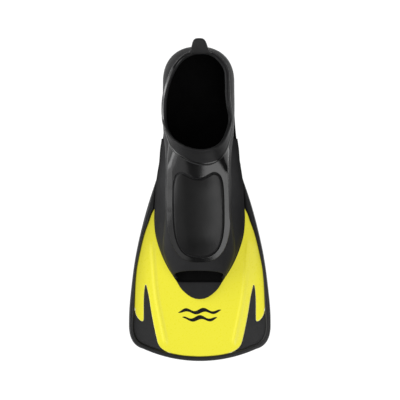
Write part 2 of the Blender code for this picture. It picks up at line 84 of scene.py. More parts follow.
# Instep: the bevelled surround, the groove inside it, and the panel.
GROOVE, PLATEAU, BEVEL_SLOPE = 1.35 * MM, 2.0 * MM, 0.45
INSTEP_X, FOOT_SHARE = 1.5 * MM, 0.96
PANEL_CROWN, PANEL_MIDDLE, BEVEL_START, ARCH_RADIUS = 2.6 * MM, -15 * MM, 31.1 * MM, 96 * MM
PANEL_HALF = 30 * MM

# Flanges beside the pocket, the sole and its treads.
EAR, EAR_Y, FLANGE_END = 1.5 * MM, 73.5 * MM, -96.5 * MM
SOLE_HEEL_WIDTH, SOLE_HEEL_REACH = 40.8 * MM, HEEL_REACH - 1.5 * MM
SOLE_SPLIT, APRON_RISE, APRON_THICK = 40 * MM, 1.3 * MM, 2.7 * MM
TREAD_PITCH, TREAD_DEPTH = 9 * MM, 2 * MM

# Blade: the rubber bead round it, its ribs and its corner inserts.
TIP_RADIUS, BEAD, CORNER_Y = 165 * MM, 5.8 * MM, -150 * MM
CORNER_JOIN, CORNER_LEAD = 68 * MM, 4.6 * MM
RAIL_REAR, RAIL_RUNOUT = 26 * MM, 5.4 * MM
RIB_HIGH, RIB_HALF, FLANK_DROP = 1.5 * MM, 3.0 * MM, 1.1 * MM
INSERT_SUNK, INSERT_TUCK, PLATE_TUCK = 0.9 * MM, 0.6 * MM, 0.3 * MM

# Pull tab: its root and how far it leans back.
TAB_X, TAB_Y, TAB_Z, TAB_LEAN = 3.5 * MM, 177.3 * MM, 71.8 * MM, math.radians(48)


def curve_of(table, unit=MM, along=MM):
    """A smooth function through (place, value) pairs; along and unit are what they are counted in."""
    pairs = sorted(table)
    ys = np.array([p[0] for p in pairs]) * along
    values = np.array([p[1] for p in pairs]) * unit
    slopes = np.gradient(values, ys)

    def at(y):
        y = np.clip(np.asarray(y, float), ys[0], ys[-1])
        i = np.clip(np.searchsorted(ys, y) - 1, 0, len(ys) - 2)
        step = ys[i + 1] - ys[i]
        t = (y - ys[i]) / step
        return ((1 + 2 * t) * (1 - t) ** 2 * values[i] + t * (1 - t) ** 2 * step * slopes[i]
                + t * t * (3 - 2 * t) * values[i + 1] - t * t * (1 - t) * step * slopes[i + 1])

    return at


form_width = curve_of([(140, 42.3), (100, 42.5), (80, 41.6), (60, 39.6), (45, 38.8), (30, 38.9), (0, 39.6),
                       (-20, 40), (-35, 41.6), (-50, 43.4), (-60, 43.4), (-79, 37.4), (-89, 32.6),
                       (-98, 26.6), (-112, 16)])
form_height = curve_of([(140, 84), (110, 90), (80, 88), (60, 83), (40, 79), (20, 73), (0, 66), (-30, 56),
                        (-60, 46.5), (-85, 38), (-112, 30)])
form_middle = curve_of([(140, 36), (60, 36), (0, 28), (-60, 20), (-112, 14)])
form_exponent = curve_of([(140, 2.4), (60, 2.6), (48, 3.1), (38, 3.2), (15, 3.9), (-10, 4.7), (-28, 4.2),
                          (-45, 3.1), (-60, 2.5), (-85, 2.4), (-112, 2.4)], 1)
right_waist = curve_of([(60, 0), (80, 0.2), (98, 1.2), (112, -1.2), (124, -2.4), (140, -1.2), (156, 1.2),
                        (168, 0)])
left_waist = curve_of([(60, 0), (80, 0), (98, -1.2), (112, -1.8), (126, -1.2), (145, 0), (168, 0)])
flange_width = curve_of([(140, 40.8), (100, 41.8), (74, 44), (50, 47.7), (26, 51.6), (0, 53.5), (-12, 54.2),
                         (-26, 54.4), (-41, 53), (-60, 47.7), (-79, 39.3), (-98, 27.3), (-108, 20.7),
                         (-113, 15.3)])
silhouette = curve_of([(26, 51.6), (-7, 62.4), (-36, 70.2), (-65, 76.5), (-103, 81.9), (-137, 84.9),
                       (-150, 85.1)])
bead_inside = curve_of([(22, 52.4), (0, 54.1), (-10, 55), (-17, 58.4), (-26, 61.2), (-46, 67.2),
                        (-65, 71.7), (-84, 75.3), (-98, 76.6), (-130, 78.0), (-150, 79.2)])
rib_place = curve_of([(-57, 57.2), (-115, 52), (-170, 41)])
rail_height = curve_of([(26, 8.6), (14, 10.8), (0, 11.6), (-30, 13), (-60, 13.4), (-97, 12.6), (-130, 10.6),
                        (-150, 10)])
web_height = curve_of([(78, 11.5), (60, 19), (30, 29), (0, 32), (-30, 28), (-60, 24), (-84, 19.5), (-97, 15)])

# The collar's width in mm by the angle round the opening in degrees, +X first and the toe side at 270,
# and how far its outer part stands off on the -X side, in mm by the place across it in mm.
collar_reach = curve_of([(0, 9), (45, 7), (90, 7), (135, 6), (180, 6), (200, 8), (215, 11.5), (228, 15.5),
                         (245, 17.5), (262, 20.5), (270, 21.3), (285, 21), (300, 19.5), (320, 17.5),
                         (335, 14.5), (350, 10.5), (360, 9)], 1, 1)
rim_flare = curve_of([(0.9, 0), (1.33, 0.13), (2.27, 0.9), (2.71, 1.42), (3.1, 1.75), (3.4, 1.5), (4.07, 0.7),
                      (5.07, 0.25), (5.8, 0.1), (6, 0)], 1, 1)

# The collar's section: place across the band from the opening, and height over the pocket's skin.
COLLAR_PROFILE = [(2.0, 1.3), (3.4, 1.2), (5, 0.95), (8, 0.9), (11, 0.95), (13, 0.9), (15.2, 0.85),
                  (16.4, 1.2), (17.4, 1.55), (18.9, 1.15), (20.0, 0.75), (20.25, 0.3), (20.3, -0.2),
                  (20.3, -1.2), (19, -2.6), (17, -3.5), (12, -3.6), (8, -3.5), (4.5, -3.4), (2.6, -3.3),
                  (1.2, -2.9), (0.3, -2.0), (0, -1.0), (0.25, 0.1), (0.9, 0.9)]

# Outlines of the +X side: the notch in the yellow plate, its end, its root, the panel, the bevel's foot
# and the apron's end.
NOTCH = [(77.7, -130), (77.2, -135), (75.2, -140), (71.8, -144), (69, -145.3), (67.6, -143.8),
         (67.4, -138), (67.3, -120), (66.6, -108), (65.6, -102.3), (64.9, -101.6), (64.1, -102.4),
         (62.7, -108), (60.6, -118), (57.8, -136), (53.9, -156), (51.6, -166), (49.6, -172.6),
         (46, -177.6), (40, -181.6), (33, -184.0)]
YELLOW_END = [(20.7, -186.3), (0, -187.7)]
PLATE_ROOT = [(34, 40), (44, 24), (50, 12), (52.6, 0), (53.8, -8)]
APRON_END = [(10.5, -116.3), (5.2, -118.4), (0, -119)]
PANEL = [(0, 24.6), (6, 25), (12, 28), (19, 31), (25, 28.5), (28.3, 20), (29.4, 4), (29.4, -22),
         (28.4, -37), (26.2, -48), (22, -58), (15.5, -64.6), (8, -67.5), (0, -68.2)]
BEVEL_FOOT = [(0, 50), (12, 52), (22, 60), (29, 69), (34.6, 69), (36.6, 56), (36.8, 37), (37.2, 20), (38, 4),
              (38, -22), (36.6, -37), (33.6, -50), (28.4, -61.5), (20.5, -70), (10.5, -74), (0, -74.8)]

# The pull tab's sections: place along it, half width, half thickness, and rise off its middle plane.
TAB_SECTIONS = [(-5.5, 15.0, 1.9, -1.6), (-3.5, 13.8, 1.9, -0.8), (-1.5, 12.4, 1.8, -0.2),
                (1, 11.2, 1.65, 0), (4, 10.3, 1.6, 0), (8, 9.6, 1.55, 0), (12, 8.9, 1.5, 0),
                (15.5, 8.1, 1.5, 0), (18, 7.2, 1.5, 0), (19.8, 6.2, 1.4, 0), (21.0, 4.9, 1.2, 0),
                (21.7, 3.4, 0.9, 0), (22.0, 1.8, 0.5, 0)]


# ---------------- lines and outlines
def smooth(points, per_span=6):
    """A closer-set line in metres through a table's points (Catmull-Rom)."""
    ends = np.array(points, float) * MM
    line = []
    for i in range(len(ends) - 1):
        before, here, there = ends[max(i - 1, 0)], ends[i], ends[i + 1]
        after = ends[min(i + 2, len(ends) - 1)]
        for k in range(per_span):
            t = k / per_span
            line.append(0.5 * (2 * here + (there - before) * t
                               + (2 * before - 5 * here + 4 * there - after) * t ** 2
                               + (3 * here - before - 3 * there + after) * t ** 3))
    line.append(ends[-1])
    return np.array(line)


def both_sides(half):
    """A closed outline from its +X half, which runs from one end of the fin to the other."""
    half = np.array(half)
    mirror = half[::-1][half[::-1, 0] > 1e-6] * (-1, 1)
    return np.vstack([half, mirror])


def lengths_along(line):
    """Length along the line to each of its points."""
    return np.r_[0, np.cumsum(np.linalg.norm(np.diff(line, axis=0), axis=1))]


def points_at(line, places):
    """The line's points at these lengths along it."""
    lengths = lengths_along(line)
    return np.stack([np.interp(places, lengths, column) for column in line.T], axis=1)


def evenly(outline, step):
    """The closed outline again, with points about step apart."""
    line = np.vstack([outline, outline[:1]])
    length = lengths_along(line)[-1]
    count = max(int(round(length / step)), 3)
    return points_at(line, np.linspace(0, length, count, endpoint=False))


def inward_normals(outline):
    """Unit normals pointing inwards from a closed outline, whichever way it runs."""
    ahead, behind = np.roll(outline, -1, axis=0), np.roll(outline, 1, axis=0)
    area = np.sum(outline[:, 0] * ahead[:, 1] - ahead[:, 0] * outline[:, 1])
    along = ahead - behind
    along /= np.linalg.norm(along, axis=1)[:, None]
    return np.stack([-along[:, 1], along[:, 0]], axis=1) * np.sign(area)


def depth_inside(points, outline):
    """How far each point is from the closed outline, positive inside it."""
    a, b = outline, np.roll(outline, -1, axis=0)
    ab = b - a
    nearest = np.full(len(points), 1e9)
    crossings = np.zeros(len(points), int)
    for i in range(len(a)):
        t = np.clip(((points - a[i]) @ ab[i]) / max(ab[i] @ ab[i], 1e-18), 0, 1)
        nearest = np.minimum(nearest, np.linalg.norm(points - a[i] - t[:, None] * ab[i], axis=1))
        spans = (a[i, 1] > points[:, 1]) != (b[i, 1] > points[:, 1])
        if spans.any():
            x = a[i, 0] + (points[:, 1] - a[i, 1]) * ab[i, 0] / (ab[i, 1] if ab[i, 1] else 1e-12)
            crossings += spans & (points[:, 0] < x)
    return np.where(crossings % 2 == 1, nearest, -nearest)


def tip_line(inset, corner_width):
    """The +X half of the blade's end: a rounded corner, then the trailing arc to the middle."""
    radius = TIP_RADIUS - inset
    centre = TIP_Y + TIP_RADIUS
    join_x = CORNER_JOIN - inset * 0.7
    join = np.array([join_x, centre - math.sqrt(radius ** 2 - join_x ** 2)])
    start = np.array([corner_width, CORNER_Y])
    corner = np.array([corner_width, join[1] + CORNER_LEAD])
    bend = [(1 - t) ** 2 * start + 2 * t * (1 - t) * corner + t * t * join for t in np.linspace(0, 1, 17)]
    arc = [(x, centre - math.sqrt(radius ** 2 - x ** 2)) for x in np.linspace(join_x, 0, 24)[1:]]
    return np.vstack([bend, arc])


def along_curve(curve, start, end, count, shift=0.0):
    """Points (x, y) from one y to another, whose x is the curve's value and the shift."""
    return [(float(curve(y)) + shift, y) for y in np.linspace(start, end, count)]


def ease(t):
    """0 below t = 0 and 1 above t = 1, with a smooth run between them."""
    t = np.clip(t, 0, 1)
    return t * t * (3 - 2 * t)


def ease_along(y, start, end):
    """ease from 0 at start to 1 at end, which are in mm."""
    return ease((y - start * MM) / ((end - start) * MM))


def bump_of(distance, half):
    """1 on the line, easing to 0 at half to either side."""
    return ease(1 - np.abs(distance) / half)


def rounded(share, power):
    """Height of a unit superellipse at this share of its half width."""
    return (1 - share ** power) ** (1 / power)


def rounded_square(count, across_power, up_power):
    """Points round a square of half side 1: the higher a power, the tighter its corners."""
    turns = np.linspace(0, 2 * math.pi, count, endpoint=False)
    across, upward = np.cos(turns), np.sin(turns)
    return list(zip(np.sign(across) * np.abs(across) ** (2 / across_power),
                    np.sign(upward) * np.abs(upward) ** (2 / up_power)))


# ---------------- the foot form
def form_at(y):
    """Half width, top and widest height of the foot form's section at y."""
    y = np.asarray(y, float)
    back = np.clip((y - HEEL_CENTRE) / HEEL_REACH, 0, 1)
    share = rounded(back, HEEL_EXPONENT)
    heel = y > HEEL_CENTRE
    width = np.where(heel, HEEL_WIDTH * share, form_width(y))
    top = np.where(heel, HEEL_MIDDLE + HEEL_DOME * share, form_height(y))
    return width, top, np.where(heel, HEEL_MIDDLE, form_middle(y))


def form_top(x, y):
    """Height of the foot form's upper surface over points of the plan."""
    width, top, middle = form_at(y)
    share = np.clip(np.abs(x) / np.maximum(width, 1e-6), 0, 1)
    return middle + (top - middle) * rounded(share, form_exponent(y))


# ---------------- mesh building
def new_piece(name, points, faces, look, sharp=40):
    """An object of these points and faces, smooth but for edges past sharp degrees."""
    mesh = bpy.data.meshes.new(name)
    mesh.from_pydata([tuple(map(float, p)) for p in points], [], [tuple(map(int, f)) for f in faces])
    shape = bmesh.new()
    shape.from_mesh(mesh)
    bmesh.ops.remove_doubles(shape, verts=shape.verts, dist=1e-6)
    bmesh.ops.dissolve_degenerate(shape, edges=shape.edges, dist=1e-7)
    bmesh.ops.recalc_face_normals(shape, faces=shape.faces)
    shape.to_mesh(mesh)
    shape.free()
    piece = bpy.data.objects.new(name, mesh)
    bpy.context.scene.collection.objects.link(piece)
    if look is not None:
        mesh.materials.append(look)
    mesh.shade_smooth()
    mesh.set_sharp_from_angle(angle=math.radians(sharp))
    return piece


def grid_faces(rows, columns, closed=False):
    """Quads over a grid of rows * columns points, wrapped round in the columns if closed."""
    return [(r * columns + c, r * columns + (c + 1) % columns,
             (r + 1) * columns + (c + 1) % columns, (r + 1) * columns + c)
            for r in range(rows - 1) for c in range(columns if closed else columns - 1)]


def grid_normals(grid):
    """Unit normals of a grid of points, by its two directions."""
    n = np.cross(np.gradient(grid, axis=0), np.gradient(grid, axis=1))
    return n / np.maximum(np.linalg.norm(n, axis=2, keepdims=True), 1e-12)


def loft_piece(name, rings, look, sharp):
    """A closed piece through a row of rings, capped at both ends."""
    grid = np.array(rings)
    count = grid.shape[1]
    faces = grid_faces(len(grid), count, closed=True)
    faces += [tuple(range(count)), tuple(range((len(grid) - 1) * count, len(grid) * count))]
    return new_piece(name, grid.reshape(-1, 3), faces, look, sharp=sharp)


def ring_piece(name, grid, look, sharp):
    """A closed ring from a grid whose columns run round it and whose rows run round its section."""
    rows, around = grid.shape[:2]
    faces = grid_faces(rows, around, closed=True)
    last = (rows - 1) * around
    faces += [(last + c, last + (c + 1) % around, (c + 1) % around, c) for c in range(around)]
    return new_piece(name, grid.reshape(-1, 3), faces, look, sharp=sharp)


def slab(name, outline, top, bottom, look, step, edge, rim_step=1.0 * MM):
    """A plate over any outline, its edges rounded over edge. top and bottom give z from x and y."""
    rim = evenly(outline, rim_step)
    inward = inward_normals(rim)
    points, depth = [rim], [np.zeros(len(rim))]
    for inset in (0.10 * edge, 0.35 * edge, edge, edge + 0.5 * step):
        ring = rim + inward * inset
        deep = depth_inside(ring, rim)
        keep = deep > inset * 0.93
        points.append(ring[keep])
        depth.append(deep[keep])
    low, high = rim.min(0), rim.max(0)
    lattice = np.array([(x + (0.5 * step if row % 2 else 0), y)
                        for row, y in enumerate(np.arange(low[1], high[1], step * 0.87))
                        for x in np.arange(low[0], high[0], step)])
    deep = depth_inside(lattice, rim)
    keep = deep > edge + 0.9 * step
    points.append(lattice[keep])
    depth.append(deep[keep])
    flat, depth = np.vstack(points), np.concatenate(depth)
    count = len(rim)
    made = delaunay_2d_cdt([Vector(p) for p in flat], [], [list(range(count))], 1, 1e-7)
    sources = [s[0] if s else -1 for s in made[3]]
    if min(sources) < 0 or len(sources) != len(flat):
        place = np.array([tuple(v) for v in made[0]])
        sources = [int(np.argmin(np.linalg.norm(flat - p, axis=1))) if s < 0 else s
                   for p, s in zip(place, sources)]
    faces = [tuple(sources[i] for i in f) for f in made[2]]
    x, y = flat[:, 0], flat[:, 1]
    d = np.clip(depth / edge, 0, 1)
    drop = edge * (1 - np.sqrt(np.clip(1 - (1 - d) ** 2, 0, 1)))
    upper = np.stack([x, y, top(x, y) + 0 * x - drop], axis=1)
    lower = np.stack([x, y, bottom(x, y) + 0 * x + drop], axis=1)
    n = len(flat)
    all_faces = faces + [tuple(n + i for i in reversed(f)) for f in faces]
    for i in range(count):
        j = (i + 1) % count
        all_faces.append((i, j, n + j, n + i))
    return new_piece(name, np.vstack([upper, lower]), all_faces, look, sharp=50)


def apply_modifiers(piece):
    """Keeps the mesh as the piece's modifiers leave it, and takes them off."""
    graph = bpy.context.evaluated_depsgraph_get()
    mesh = bpy.data.meshes.new_from_object(piece.evaluated_get(graph))
    piece.modifiers.clear()
    piece.data = mesh


def rides(piece, body, slot, *nodes):
    """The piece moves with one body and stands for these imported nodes."""
    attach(piece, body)
    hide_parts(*nodes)


def bends(piece, slot, *nodes):
    """The piece crosses the flex line: its transform is baked into its mesh and it stands for these imported
    nodes.
    """
    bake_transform(piece)
    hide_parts(*nodes)


# ---------------- materials
def feed(socket, value):
    """Links the socket to value where that is another socket, and sets it to value where it isn't."""
    if isinstance(value, bpy.types.NodeSocket):
        socket.id_data.links.new(value, socket)
    else:
        socket.default_value = value


class Look:
    """A Principled material and short ways to feed its sockets from textures in the object's own space."""

    def __init__(self, name, colour, roughness, **inputs):
        self.material = bpy.data.materials.new(name)
        self.material.use_nodes = True
        self.nodes = self.material.node_tree.nodes
        self.shader = self.nodes["Principled BSDF"]
        self.fill(self.shader, Base_Color=(*colour, 1), Roughness=roughness, **inputs)
        self.place = self.nodes.new("ShaderNodeTexCoord").outputs["Object"]

    def fill(self, node, **inputs):
        """Feeds the node's inputs, named with _ for each space, and returns the node."""
        for key, value in inputs.items():
            feed(node.inputs[key.replace("_", " ")], value)
        return node

    def node(self, kind, **inputs):
        return self.fill(self.nodes.new("ShaderNode" + kind), **inputs)

    def noise(self, scale, detail):
        """Noise from 0 to 1, of this many features a metre."""
        return self.node("TexNoise", Vector=self.place, Scale=scale, Detail=detail,
                         Roughness=0.55).outputs["Fac"]

    def cells(self, scale):
        """Distance to the nearest of many scattered points, for a pebbled surface."""
        return self.node("TexVoronoi", Vector=self.place, Scale=scale).outputs["Distance"]

    def waves(self, scale, turn):
        """Parallel waves, turned about Z by this many radians."""
        turned = self.node("Mapping", Vector=self.place, Rotation=(0, 0, turn)).outputs["Vector"]
        return self.node("TexWave", Vector=turned, Scale=scale).outputs["Fac"]

    def between(self, value, low, high, out_low, out_high):
        """Maps value from low..high to out_low..out_high, and holds it at the ends."""
        return self.node("MapRange", Value=value, From_Min=low, From_Max=high,
                         To_Min=out_low, To_Max=out_high).outputs["Result"]

    def patches(self, scale, detail, low, high, out_low, out_high):
        """Noise with its low..high range mapped to out_low..out_high."""
        return self.between(self.noise(scale, detail), low, high, out_low, out_high)

    def both(self, a, b):
        """The product of two factors."""
        node = self.node("Math")
        node.operation = "MULTIPLY"
        feed(node.inputs[0], a)
        feed(node.inputs[1], b)
        return node.outputs[0]

    def tint(self, factor, colour):
        """Mixes colour into the base colour by factor."""
        node = self.node("Mix")
        node.data_type = "RGBA"
        base = self.shader.inputs["Base Color"]
        under = base.links[0].from_socket if base.is_linked else base.default_value
        self.fill(node, A=under, B=(*colour, 1), Factor=factor)
        feed(base, node.outputs["Result"])

    def roughen(self, value):
        feed(self.shader.inputs["Roughness"], value)

    def emboss(self, value, depth, strength=1.0):
        """Adds bump of this depth in metres on top of what is there."""
        node = self.node("Bump", Height=value, Distance=depth, Strength=strength)
        normal = self.shader.inputs["Normal"]
        if normal.is_linked:
            feed(node.inputs["Normal"], normal.links[0].from_socket)
        feed(normal, node.outputs["Normal"])

    def worn_edges(self, colour, amount):
        """A lighter rub on outer edges, broken up by noise."""
        pointed = self.node("NewGeometry").outputs["Pointiness"]
        sharp = self.between(pointed, 0.53, 0.60, 0, 1)
        self.tint(self.both(sharp, self.patches(140, 4, 0.42, 0.62, 0, amount)), colour)


def rubber(name, grey, roughness, grain=0.00005, shine=0.36, clouds=1.0):
    """Moulded rubber: soft cloudiness, faint dust, rubbed edges and a fine grain, grain metres deep."""
    look = Look(name, (grey, grey, grey * 1.04), roughness, Specular_IOR_Level=shine)
    look.tint(look.patches(34, 4, 0.35, 0.7, 0, 0.35 * clouds), (grey * 1.9, grey * 1.9, grey * 1.95))
    specks = look.both(look.patches(2600, 1, 0.66, 0.74, 0, 1), look.patches(22, 2, 0.5, 0.68, 0, 0.5))
    look.tint(specks, (grey * 7, grey * 6.8, grey * 6.6))
    look.worn_edges((grey * 5, grey * 5, grey * 5), 0.35)
    look.roughen(look.patches(55, 5, 0.3, 0.72, roughness - 0.07 * clouds, roughness + 0.09 * clouds))
    look.emboss(look.noise(2200, 2), grain)
    look.emboss(look.noise(60, 3), 0.00012 * clouds, 0.5)
    return look


def panel_rubber():
    """Soft rubber with a fine pebbled surface."""
    look = rubber("panel_rubber", 0.003, 0.31, 0.00003, shine=0.28, clouds=0.4)
    look.emboss(look.cells(1500), 0.00004)
    return look


def insert_rubber():
    """Rubber with a coarser pebbled surface."""
    look = rubber("insert_rubber", 0.014, 0.5, 0.00008)
    look.emboss(look.cells(900), 0.0001)
    return look


def grip_rubber():
    """Rubber with two crossed sets of fine ridges, for the fingers."""
    look = rubber("grip_rubber", 0.02, 0.5)
    for turn in (0.7, -0.7):
        look.emboss(look.waves(380, turn), 0.00035)
    return look


def yellow_plastic():
    """Yellow plastic with a weak glow: the emission is painted light, lifting the plate where the pocket
    shades it and evening its brightness.
    """
    # Emission here is painted light: a glow that fills the shade the pocket throws on the plate.
    look = Look("yellow_plastic", (0.49, 0.465, 0.012), 0.3, Specular_IOR_Level=0.45,
                Emission_Color=(0.88, 0.805, 0.06, 1), Emission_Strength=0.50)
    look.tint(look.patches(9, 3, 0.35, 0.7, 0, 0.4), (0.51, 0.455, 0.008))
    look.worn_edges((0.90, 0.88, 0.30), 0.5)
    look.roughen(look.patches(420, 4, 0.35, 0.75, 0.26, 0.36))
    look.emboss(look.noise(1600, 2), 0.00003)
    look.emboss(look.noise(30, 2), 0.0002, 0.3)
    return look


def black_ink():
    """Printed ink, with specks of the yellow showing through."""
    look = Look("black_ink", (0.004, 0.004, 0.0045), 0.35, Specular_IOR_Level=0.25)
    look.roughen(look.patches(700, 3, 0.35, 0.7, 0.28, 0.5))
    look.tint(look.patches(3200, 2, 0.7, 0.78, 0, 0.5), (0.25, 0.23, 0.05))
    return look


def make_looks():
    """The materials by what they are used for."""
    looks = {"upper": rubber("moulded_rubber", 0.021, 0.5, shine=0.05),
             "gloss": rubber("gloss_rubber", 0.0035, 0.18, 0.00001, shine=0.5, clouds=0.2),
             "crest": rubber("polished_rubber", 0.004, 0.17, 0.00001, shine=1.0, clouds=0.2),
             "collar": rubber("collar_rubber", 0.013, 0.42, 0.00004, shine=0.13, clouds=0.5),
             "panel": panel_rubber(),
             "rim": rubber("rim_rubber", 0.010, 0.42),
             "insert": insert_rubber(),
             "tread": rubber("tread_rubber", 0.016, 0.66, 0.00012),
             # The pocket's inside and floor are painted shade: a near-black rubber where shade falls.
             "painted_shade": rubber("painted_shade_rubber", 0.0015, 0.75, 0.0001, shine=0.08),
             "grip": grip_rubber(),
             "plate": yellow_plastic(),
             "ink": black_ink()}
    return {key: look.material for key, look in looks.items()}


# ---------------- foot pocket
def section_line(y):
    """One section of the pocket's outer skin, from the sole up over the foot and down to the sole."""
    width, top, middle = (float(v) for v in form_at(y))
    power = float(form_exponent(y))
    z = np.linspace(SOLE_TOP, middle, LOW_COLUMNS + 1)[:-1]
    sunk = (middle - z) / (middle - WALL_BULGE_LOW)
    low = np.stack([width * rounded(sunk, WALL_EXPONENT), z], axis=1)
    a = np.linspace(0, math.pi / 2, 500)
    arc = np.stack([width * np.cos(a).clip(0) ** (2 / power),
                    middle + (top - middle) * np.sin(a) ** (2 / power)], axis=1)
    arc = points_at(arc, np.linspace(0, lengths_along(arc)[-1], TOP_COLUMNS // 2 + 1))
    right = np.vstack([low, arc])
    left = right[:-1][::-1] * (-1, 1)
    line = np.vstack([right, left])
    return np.column_stack([line[:, 0], np.full(len(line), y), line[:, 1]])


def pocket_skin():
    """The pocket's outer skin as a grid: rows from the slanted toe edge to the back of the heel."""
    table = np.array([section_line(y) for y in np.arange(TOE_END, HEEL_CENTRE + 0.1 * MM, 1 * MM)])
    ys = table[:, 0, 1]
    lean = (LIP_Y - CUT_FOOT_Y) / (LIP_Z - SOLE_TOP)
    rows = np.r_[np.linspace(0, 0.6, 120), np.linspace(0.6, 1, 52)[1:]]
    skin = np.zeros((len(rows), table.shape[1], 3))
    for k in range(table.shape[1]):
        front = np.interp(0, ys - (CUT_FOOT_Y + (table[:, k, 2] - SOLE_TOP) * lean), ys)
        y = front + WALL / 2 + (HEEL_CENTRE - front - WALL / 2) * rows
        skin[:, k] = np.stack([np.interp(y, ys, table[:, k, 0]), y, np.interp(y, ys, table[:, k, 2])], axis=1)
    back = HEEL_CENTRE + HEEL_REACH * np.sin(np.linspace(0, math.pi / 2, 30)[1:])
    return np.concatenate([skin, np.array([section_line(y) for y in back])])


def ankle_point(angle):
    """A point of the ankle opening's edge in plan."""
    c, s = math.cos(angle), math.sin(angle)
    length, exponent, lean, power = ((ANKLE_REAR, REAR_EXPONENT, REAR_LEAN, REAR_LEAN_POWER) if s >= 0 else
                                     (ANKLE_FRONT, FRONT_EXPONENT, FRONT_LEAN, FRONT_LEAN_POWER))
    along = math.copysign(abs(s) ** (2 / exponent), s)
    across = math.copysign(abs(c) ** (2 / exponent), c)
    x, y = ANKLE_WIDTH * across + lean * abs(along) ** power, ANKLE_Y + length * along
    return x + float((right_waist if c > 0 else left_waist)(y)), y


def collar_paths(count=200, steps=45):
    """Paths down the form from points round the ankle opening: an array of count, steps and x, y, z."""
    paths = []
    for a in np.linspace(0, 2 * math.pi, count, endpoint=False):
        x0, y0 = ankle_point(a)
        away = np.array([x0, y0 - COLLAR_FOCUS_Y])
        away /= np.linalg.norm(away)
        # The way out to the form's edge, found by halving.
        low, high = 0.0, 60 * MM
        for _ in range(40):
            mid = (low + high) / 2
            x, y = x0 + away[0] * mid, y0 + away[1] * mid
            inside = abs(x) < form_at(y)[0] and y < HEEL_CENTRE + HEEL_REACH
            low, high = (mid, high) if inside else (low, mid)
        r = low * (1 - (1 - np.linspace(0, 1, 400)) ** 3)
        x, y = x0 + away[0] * r, y0 + away[1] * r
        line = np.stack([x, y, form_top(x, y)], axis=1)
        # From the form's edge the path runs straight down.
        line = np.vstack([line, line[-1] - (0, 0, 40 * MM)])
        paths.append(points_at(line, np.linspace(0, PATH_REACH * MM, steps)))
    return np.array(paths)


def at_places(lines, places):
    """Each line's value at its own place, in mm along the paths from the opening's edge."""
    stations = np.linspace(0, PATH_REACH, lines.shape[1])
    return np.array([[np.interp(place, stations, line[:, i]) for i in range(3)]
                     for place, line in zip(places, lines)])


def paint_inner_shade(shell, look):
    """Gives the pocket's inner faces, those that look towards its middle, the near-black painted-shade look.
    """
    shell.data.materials.append(look)
    for face in shell.data.polygons:
        middle = float(form_at(face.center.y)[2])
        inwards = face.normal.x * face.center.x + face.normal.z * (face.center.z - middle) < 0
        if inwards and face.center.y > LIP_Y:
            face.material_index = 1


def closed_shell(skin, look):
    """The pocket's skin and its inside, a wall apart, with a round lip at the toe."""
    normals = grid_normals(skin)
    normals[-1] = (0, 1, 0)
    if normals[60, skin.shape[1] // 2, 2] < 0:
        normals[:-1] *= -1
    inner = skin - normals * WALL
    inner[..., 2] = np.maximum(inner[..., 2], SOLE_TOP)
    rows, columns = skin.shape[:2]
    outward = skin[0] - skin[3]
    outward /= np.linalg.norm(outward, axis=1)[:, None]
    middle = (skin[0] + inner[0]) / 2
    lip = [middle + (skin[0] - inner[0]) / 2 * math.cos(t) + outward * WALL / 2 * math.sin(t)
           for t in np.linspace(0, math.pi, 9)[1:-1]]
    grid = np.concatenate([skin[::-1], np.array(lip), inner])
    edge_rows = grid.shape[0]
    faces = grid_faces(edge_rows, columns)
    for c in (0, columns - 1):
        for r in range(rows - 1):
            a, b = r * columns + c, (r + 1) * columns + c
            back_a, back_b = (edge_rows - 1 - r) * columns + c, (edge_rows - 2 - r) * columns + c
            faces.append((a, b, back_b, back_a))
        faces.append(tuple((rows - 1 + i) * columns + c for i in range(len(lip) + 2)))
    return new_piece("pocket_shell", grid.reshape(-1, 3), faces, look)


def cut_ankle(shell, paths, reach):
    """Cuts the ankle opening, a cone from inside the pocket to a line under the collar."""
    apex = Vector((0, COLLAR_FOCUS_Y, 40 * MM))
    edge = [Vector(p) for p in at_places(paths[::2], CUT_SHARE * reach[::2])]
    low = [apex + (p - apex) * CONE_STRETCH for p in edge]
    high = [Vector((p.x, p.y, CUTTER_HEIGHT)) for p in low]
    n = len(edge)
    faces = [tuple(range(n + 1, 2 * n + 1))]
    for i in range(n):
        j = (i + 1) % n
        faces += [(0, 1 + j, 1 + i), (1 + i, 1 + j, 1 + n + j, 1 + n + i)]
    cutter = new_piece("collar_space", [apex, *low, *high], faces, None)
    opening = shell.modifiers.new("opening", "BOOLEAN")
    opening.operation, opening.object, opening.solver = "DIFFERENCE", cutter, "EXACT"
    apply_modifiers(shell)
    bpy.data.objects.remove(cutter)
    shell.data.set_sharp_from_angle(angle=math.radians(40))


def path_normals(paths):
    """Unit normals of the surface that the paths lie on, pointing away from the foot."""
    around = np.roll(paths, -1, axis=0) - np.roll(paths, 1, axis=0)
    normals = np.cross(around, np.gradient(paths, axis=1))
    normals /= np.linalg.norm(normals, axis=2, keepdims=True)
    return normals * np.sign(normals[50, 10, 2])


def profile_place(t, reach):
    """Where place t of a full band lies on bands of these widths: the middle part takes up the difference."""
    fit = np.clip(reach / COLLAR_FULL, 0, 1)
    if t < COLLAR_LIP:
        return t * fit
    if t > COLLAR_OUTER:
        return reach - (COLLAR_SPAN - t) * fit
    ends = COLLAR_LIP + COLLAR_SPAN - COLLAR_OUTER
    return COLLAR_LIP * fit + (t - COLLAR_LIP) / (COLLAR_OUTER - COLLAR_LIP) * (reach - ends * fit)


